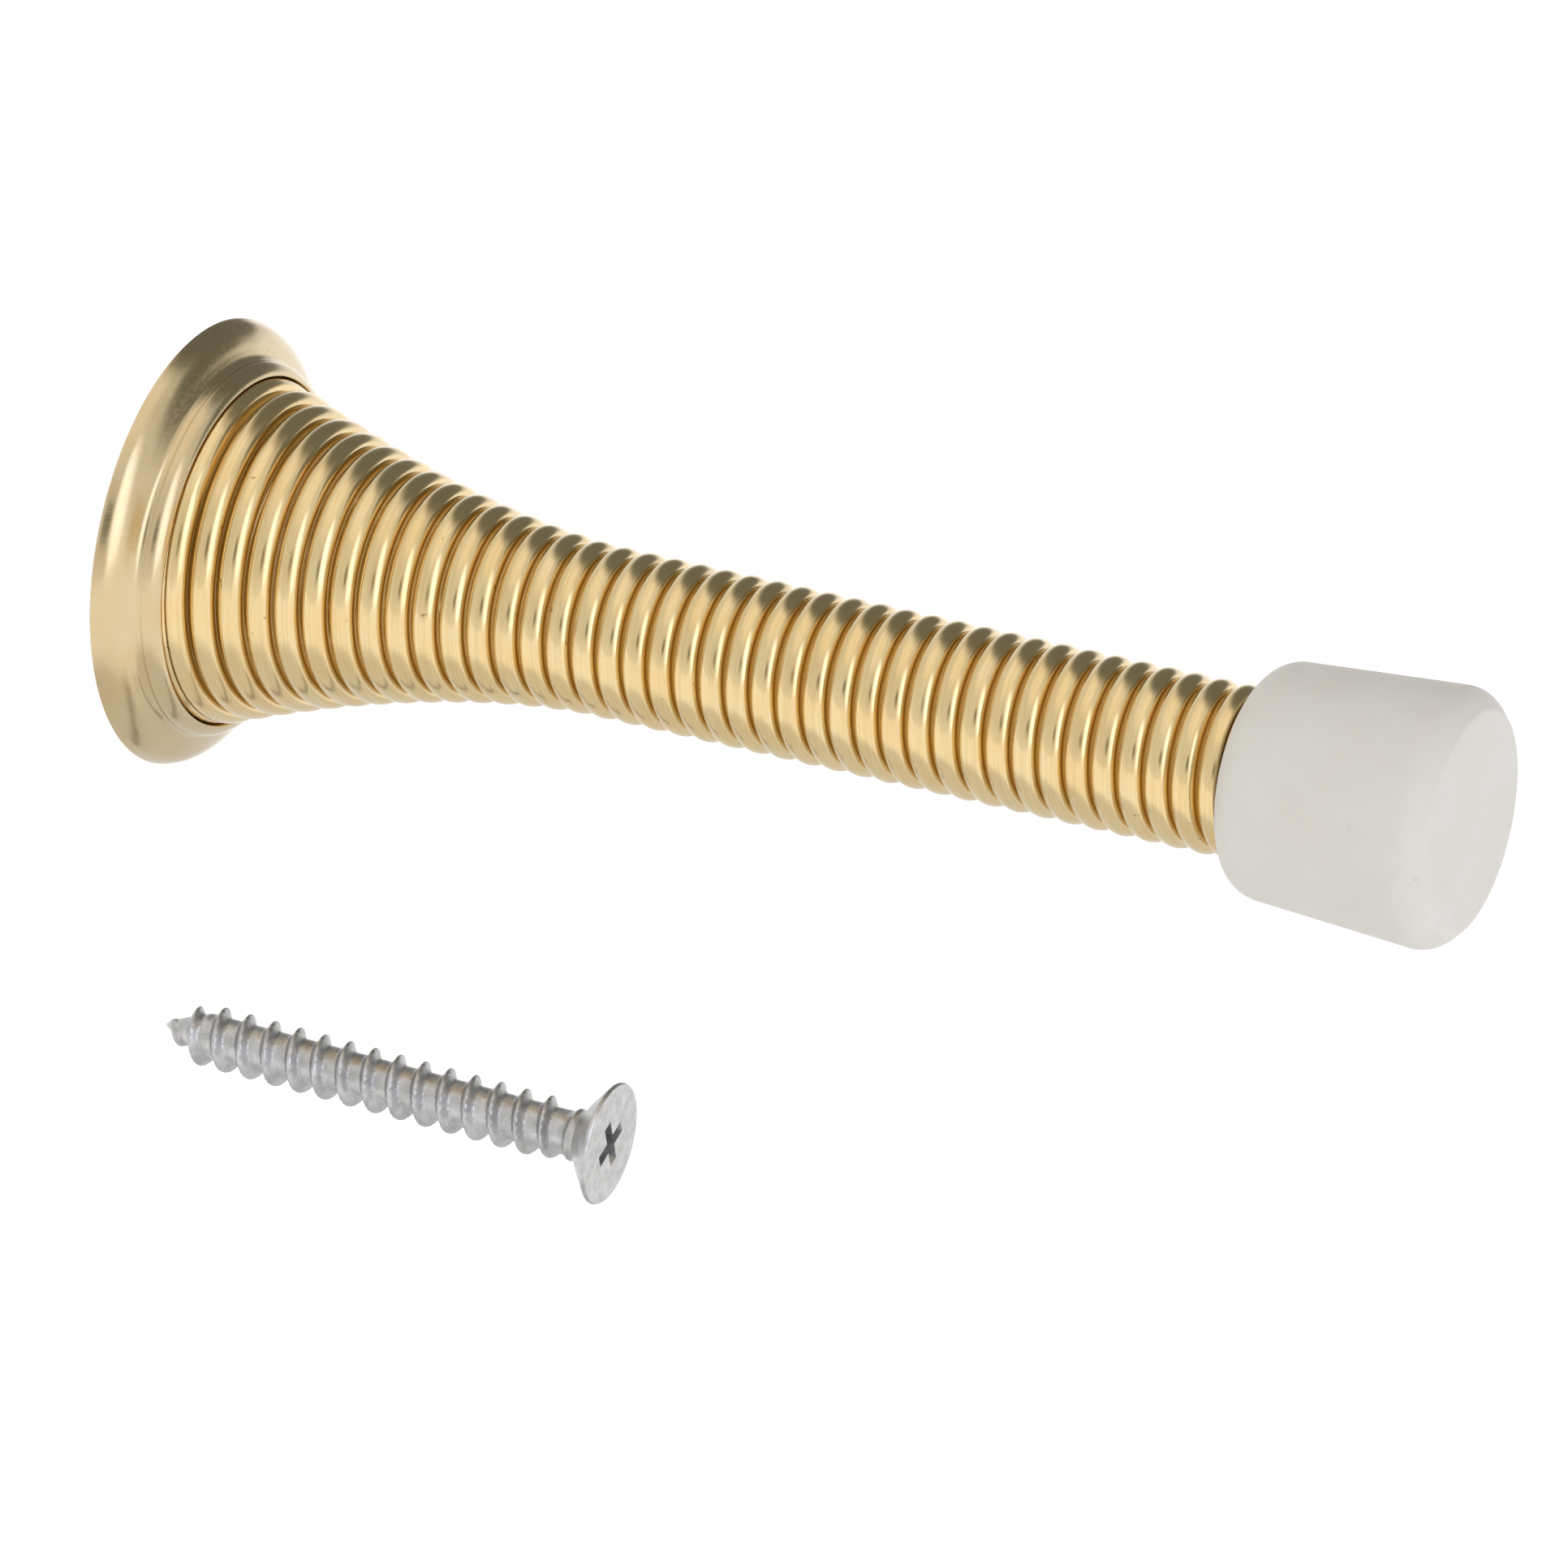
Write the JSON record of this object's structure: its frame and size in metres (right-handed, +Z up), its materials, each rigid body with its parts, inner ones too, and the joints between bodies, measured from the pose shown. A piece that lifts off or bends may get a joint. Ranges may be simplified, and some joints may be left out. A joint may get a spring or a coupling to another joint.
{
  "type": "spring door stop",
  "caption": "Wall spring door stop: a flared close-wound brass-finished spring on a round screw-on base, with an off-white soft tip cap and a countersunk cross-recess screw.",
  "frame": {"origin": "centre of the round base where its rim meets the wall, on the spring's axis", "axes": "+X out from the wall along the spring to the tip, +Z up, +Y to the right for someone facing the wall's outer side with the tip towards them"},
  "size_m": [0.0794, 0.0262, 0.0465],
  "materials": {
    "flange_brass": "polished brass plate on a steel stamping",
    "spring_brass": "polished brass plate on drawn steel wire",
    "cap_vinyl": "matte off-white moulded soft vinyl",
    "screw_zinc": "bright zinc plated steel"
  },
  "bodies": {
    "base_flange": {"base_flange": "flange_brass"},
    "wall_screw": {"wall_screw": "screw_zinc"},
    "spring_base_turns": {"spring_base_turns": "spring_brass"},
    "spring_wire_01": {"spring_wire_01": "spring_brass"},
    "spring_wire_02": {"spring_wire_02": "spring_brass"},
    "spring_wire_03": {"spring_wire_03": "spring_brass"},
    "spring_wire_04": {"spring_wire_04": "spring_brass"},
    "spring_wire_05": {"spring_wire_05": "spring_brass"},
    "spring_wire_06": {"spring_wire_06": "spring_brass"},
    "spring_wire_07": {"spring_wire_07": "spring_brass"},
    "spring_wire_08": {"spring_wire_08": "spring_brass"},
    "spring_wire_09": {"spring_wire_09": "spring_brass"},
    "spring_wire_10": {"spring_wire_10": "spring_brass"},
    "spring_wire_11": {"spring_wire_11": "spring_brass"},
    "spring_wire_12": {"spring_wire_12": "spring_brass"},
    "spring_wire_13": {"spring_wire_13": "spring_brass"},
    "spring_wire_14": {"spring_wire_14": "spring_brass"},
    "spring_wire_15": {"spring_wire_15": "spring_brass"},
    "spring_wire_16": {"spring_wire_16": "spring_brass"},
    "spring_wire_17": {"spring_wire_17": "spring_brass"},
    "spring_wire_18": {"spring_wire_18": "spring_brass"},
    "spring_wire_19": {"spring_wire_19": "spring_brass"},
    "spring_wire_20": {"spring_wire_20": "spring_brass"},
    "spring_wire_21": {"spring_wire_21": "spring_brass"},
    "spring_wire_22": {"spring_wire_22": "spring_brass"},
    "spring_wire_23": {"spring_wire_23": "spring_brass"},
    "spring_wire_24": {"spring_wire_24": "spring_brass"},
    "spring_wire_25": {"spring_wire_25": "spring_brass"},
    "spring_wire_26": {"spring_wire_26": "spring_brass"},
    "spring_wire_27": {"spring_wire_27": "spring_brass"},
    "spring_wire_28": {"spring_wire_28": "spring_brass"},
    "spring_wire_29": {"spring_wire_29": "spring_brass"},
    "spring_tip_turns": {"spring_tip_turns": "spring_brass"},
    "tip_cap": {"tip_cap": "cap_vinyl"}
  },
  "joints": [
    {"name": "spring_off", "type": "slide", "parent": "base_flange", "child": "spring_base_turns", "axis": [1, 0, 0], "range_m": [0, 0.012]},
    {"name": "bend_sideways", "type": "hinge", "parent": "spring_base_turns", "child": "spring_wire_01", "pos_m": [0.00609, 0, 0.00833], "axis": [0, 0, 1], "range_deg": [-1.01, 1.01], "stiffness_Nm_per_rad": 0.28},
    {"name": "bend_up_down", "type": "hinge", "parent": "spring_wire_01", "child": "spring_wire_02", "pos_m": [0.008, -0.00769, 0], "axis": [0, 1, 0], "range_deg": [-1.1, 1.1], "stiffness_Nm_per_rad": 0.304},
    {"name": "bend_sideways_02", "type": "hinge", "parent": "spring_wire_02", "child": "spring_wire_03", "pos_m": [0.00992, 0, -0.00708], "axis": [0, 0, 1], "range_deg": [-1.19, 1.19], "stiffness_Nm_per_rad": 0.33},
    {"name": "bend_up_down_02", "type": "hinge", "parent": "spring_wire_03", "child": "spring_wire_04", "pos_m": [0.01186, 0.00652, 0], "axis": [0, 1, 0], "range_deg": [-1.29, 1.29], "stiffness_Nm_per_rad": 0.358},
    {"name": "bend_sideways_03", "type": "hinge", "parent": "spring_wire_04", "child": "spring_wire_05", "pos_m": [0.01381, 0, 0.006], "axis": [0, 0, 1], "range_deg": [-1.4, 1.4], "stiffness_Nm_per_rad": 0.389},
    {"name": "bend_up_down_03", "type": "hinge", "parent": "spring_wire_05", "child": "spring_wire_06", "pos_m": [0.01577, -0.00554, 0], "axis": [0, 1, 0], "range_deg": [-1.52, 1.52], "stiffness_Nm_per_rad": 0.422},
    {"name": "bend_sideways_04", "type": "hinge", "parent": "spring_wire_06", "child": "spring_wire_07", "pos_m": [0.01775, 0, -0.00513], "axis": [0, 0, 1], "range_deg": [-1.64, 1.64], "stiffness_Nm_per_rad": 0.455},
    {"name": "bend_up_down_04", "type": "hinge", "parent": "spring_wire_07", "child": "spring_wire_08", "pos_m": [0.01973, 0.00478, 0], "axis": [0, 1, 0], "range_deg": [-1.76, 1.76], "stiffness_Nm_per_rad": 0.489},
    {"name": "bend_sideways_05", "type": "hinge", "parent": "spring_wire_08", "child": "spring_wire_09", "pos_m": [0.02173, 0, 0.00449], "axis": [0, 0, 1], "range_deg": [-1.88, 1.88], "stiffness_Nm_per_rad": 0.52},
    {"name": "bend_up_down_05", "type": "hinge", "parent": "spring_wire_09", "child": "spring_wire_10", "pos_m": [0.02373, -0.00428, 0], "axis": [0, 1, 0], "range_deg": [-1.97, 1.97], "stiffness_Nm_per_rad": 0.546},
    {"name": "bend_sideways_06", "type": "hinge", "parent": "spring_wire_10", "child": "spring_wire_11", "pos_m": [0.02574, 0, -0.00416], "axis": [0, 0, 1], "range_deg": [-2.02, 2.02], "stiffness_Nm_per_rad": 0.561},
    {"name": "bend_up_down_06", "type": "hinge", "parent": "spring_wire_11", "child": "spring_wire_12", "pos_m": [0.02776, 0.00415, 0], "axis": [0, 1, 0], "range_deg": [-2.03, 2.03], "stiffness_Nm_per_rad": 0.563},
    {"name": "bend_sideways_07", "type": "hinge", "parent": "spring_wire_12", "child": "spring_wire_13", "pos_m": [0.02978, 0, 0.00415], "axis": [0, 0, 1], "range_deg": [-2.03, 2.03], "stiffness_Nm_per_rad": 0.563},
    {"name": "bend_up_down_07", "type": "hinge", "parent": "spring_wire_13", "child": "spring_wire_14", "pos_m": [0.03179, -0.00415, 0], "axis": [0, 1, 0], "range_deg": [-2.03, 2.03], "stiffness_Nm_per_rad": 0.563},
    {"name": "bend_sideways_08", "type": "hinge", "parent": "spring_wire_14", "child": "spring_wire_15", "pos_m": [0.03381, 0, -0.00415], "axis": [0, 0, 1], "range_deg": [-2.03, 2.03], "stiffness_Nm_per_rad": 0.563},
    {"name": "bend_up_down_08", "type": "hinge", "parent": "spring_wire_15", "child": "spring_wire_16", "pos_m": [0.03583, 0.00415, 0], "axis": [0, 1, 0], "range_deg": [-2.03, 2.03], "stiffness_Nm_per_rad": 0.563},
    {"name": "bend_sideways_09", "type": "hinge", "parent": "spring_wire_16", "child": "spring_wire_17", "pos_m": [0.03784, 0, 0.00415], "axis": [0, 0, 1], "range_deg": [-2.03, 2.03], "stiffness_Nm_per_rad": 0.563},
    {"name": "bend_up_down_09", "type": "hinge", "parent": "spring_wire_17", "child": "spring_wire_18", "pos_m": [0.03986, -0.00415, 0], "axis": [0, 1, 0], "range_deg": [-2.03, 2.03], "stiffness_Nm_per_rad": 0.563},
    {"name": "bend_sideways_10", "type": "hinge", "parent": "spring_wire_18", "child": "spring_wire_19", "pos_m": [0.04187, 0, -0.00415], "axis": [0, 0, 1], "range_deg": [-2.03, 2.03], "stiffness_Nm_per_rad": 0.563},
    {"name": "bend_up_down_10", "type": "hinge", "parent": "spring_wire_19", "child": "spring_wire_20", "pos_m": [0.04389, 0.00415, 0], "axis": [0, 1, 0], "range_deg": [-2.03, 2.03], "stiffness_Nm_per_rad": 0.563},
    {"name": "bend_sideways_11", "type": "hinge", "parent": "spring_wire_20", "child": "spring_wire_21", "pos_m": [0.04591, 0, 0.00415], "axis": [0, 0, 1], "range_deg": [-2.03, 2.03], "stiffness_Nm_per_rad": 0.563},
    {"name": "bend_up_down_11", "type": "hinge", "parent": "spring_wire_21", "child": "spring_wire_22", "pos_m": [0.04792, -0.00415, 0], "axis": [0, 1, 0], "range_deg": [-2.03, 2.03], "stiffness_Nm_per_rad": 0.563},
    {"name": "bend_sideways_12", "type": "hinge", "parent": "spring_wire_22", "child": "spring_wire_23", "pos_m": [0.04994, 0, -0.00415], "axis": [0, 0, 1], "range_deg": [-2.03, 2.03], "stiffness_Nm_per_rad": 0.563},
    {"name": "bend_up_down_12", "type": "hinge", "parent": "spring_wire_23", "child": "spring_wire_24", "pos_m": [0.05196, 0.00415, 0], "axis": [0, 1, 0], "range_deg": [-2.03, 2.03], "stiffness_Nm_per_rad": 0.563},
    {"name": "bend_sideways_13", "type": "hinge", "parent": "spring_wire_24", "child": "spring_wire_25", "pos_m": [0.05397, 0, 0.00415], "axis": [0, 0, 1], "range_deg": [-2.03, 2.03], "stiffness_Nm_per_rad": 0.563},
    {"name": "bend_up_down_13", "type": "hinge", "parent": "spring_wire_25", "child": "spring_wire_26", "pos_m": [0.05599, -0.00415, 0], "axis": [0, 1, 0], "range_deg": [-2.03, 2.03], "stiffness_Nm_per_rad": 0.563},
    {"name": "bend_sideways_14", "type": "hinge", "parent": "spring_wire_26", "child": "spring_wire_27", "pos_m": [0.058, 0, -0.00415], "axis": [0, 0, 1], "range_deg": [-2.03, 2.03], "stiffness_Nm_per_rad": 0.563},
    {"name": "bend_up_down_14", "type": "hinge", "parent": "spring_wire_27", "child": "spring_wire_28", "pos_m": [0.06002, 0.00415, 0], "axis": [0, 1, 0], "range_deg": [-2.03, 2.03], "stiffness_Nm_per_rad": 0.563},
    {"name": "bend_sideways_15", "type": "hinge", "parent": "spring_wire_28", "child": "spring_wire_29", "pos_m": [0.06204, 0, 0.00415], "axis": [0, 0, 1], "range_deg": [-2.03, 2.03], "stiffness_Nm_per_rad": 0.563},
    {"name": "bend_up_down_15", "type": "hinge", "parent": "spring_wire_29", "child": "spring_tip_turns", "pos_m": [0.06405, -0.00415, 0], "axis": [0, 1, 0], "range_deg": [-2.03, 2.03], "stiffness_Nm_per_rad": 0.563},
    {"name": "tip_off", "type": "slide", "parent": "spring_tip_turns", "child": "tip_cap", "axis": [1, 0, 0], "range_m": [0, 0.014]},
    {"name": "screw_turn", "type": "hinge", "parent": "base_flange", "child": "wall_screw", "pos_m": [0.0288, -0.005, -0.02985], "axis": [0.9978, 0.0401, -0.0523], "continuous": true}
  ],
  "couplings": [
    {"joint": "bend_sideways_02", "follows": "bend_sideways", "ratio": 1.1767},
    {"joint": "bend_up_down_02", "follows": "bend_up_down", "ratio": 1.1789},
    {"joint": "bend_sideways_03", "follows": "bend_sideways", "ratio": 1.3875},
    {"joint": "bend_up_down_03", "follows": "bend_up_down", "ratio": 1.3871},
    {"joint": "bend_sideways_04", "follows": "bend_sideways", "ratio": 1.6239},
    {"joint": "bend_up_down_04", "follows": "bend_up_down", "ratio": 1.6079},
    {"joint": "bend_sideways_05", "follows": "bend_sideways", "ratio": 1.8539},
    {"joint": "bend_up_down_05", "follows": "bend_up_down", "ratio": 1.7945},
    {"joint": "bend_sideways_06", "follows": "bend_sideways", "ratio": 2.0017},
    {"joint": "bend_up_down_06", "follows": "bend_up_down", "ratio": 1.8519},
    {"joint": "bend_sideways_07", "follows": "bend_sideways", "ratio": 2.0076},
    {"joint": "bend_up_down_07", "follows": "bend_up_down", "ratio": 1.8519},
    {"joint": "bend_sideways_08", "follows": "bend_sideways", "ratio": 2.0076},
    {"joint": "bend_up_down_08", "follows": "bend_up_down", "ratio": 1.8519},
    {"joint": "bend_sideways_09", "follows": "bend_sideways", "ratio": 2.0076},
    {"joint": "bend_up_down_09", "follows": "bend_up_down", "ratio": 1.8519},
    {"joint": "bend_sideways_10", "follows": "bend_sideways", "ratio": 2.0076},
    {"joint": "bend_up_down_10", "follows": "bend_up_down", "ratio": 1.8519},
    {"joint": "bend_sideways_11", "follows": "bend_sideways", "ratio": 2.0076},
    {"joint": "bend_up_down_11", "follows": "bend_up_down", "ratio": 1.8519},
    {"joint": "bend_sideways_12", "follows": "bend_sideways", "ratio": 2.0076},
    {"joint": "bend_up_down_12", "follows": "bend_up_down", "ratio": 1.8519},
    {"joint": "bend_sideways_13", "follows": "bend_sideways", "ratio": 2.0076},
    {"joint": "bend_up_down_13", "follows": "bend_up_down", "ratio": 1.8519},
    {"joint": "bend_sideways_14", "follows": "bend_sideways", "ratio": 2.0076},
    {"joint": "bend_up_down_14", "follows": "bend_up_down", "ratio": 1.8519},
    {"joint": "bend_sideways_15", "follows": "bend_sideways", "ratio": 2.0076},
    {"joint": "bend_up_down_15", "follows": "bend_up_down", "ratio": 1.8519}
  ]
}
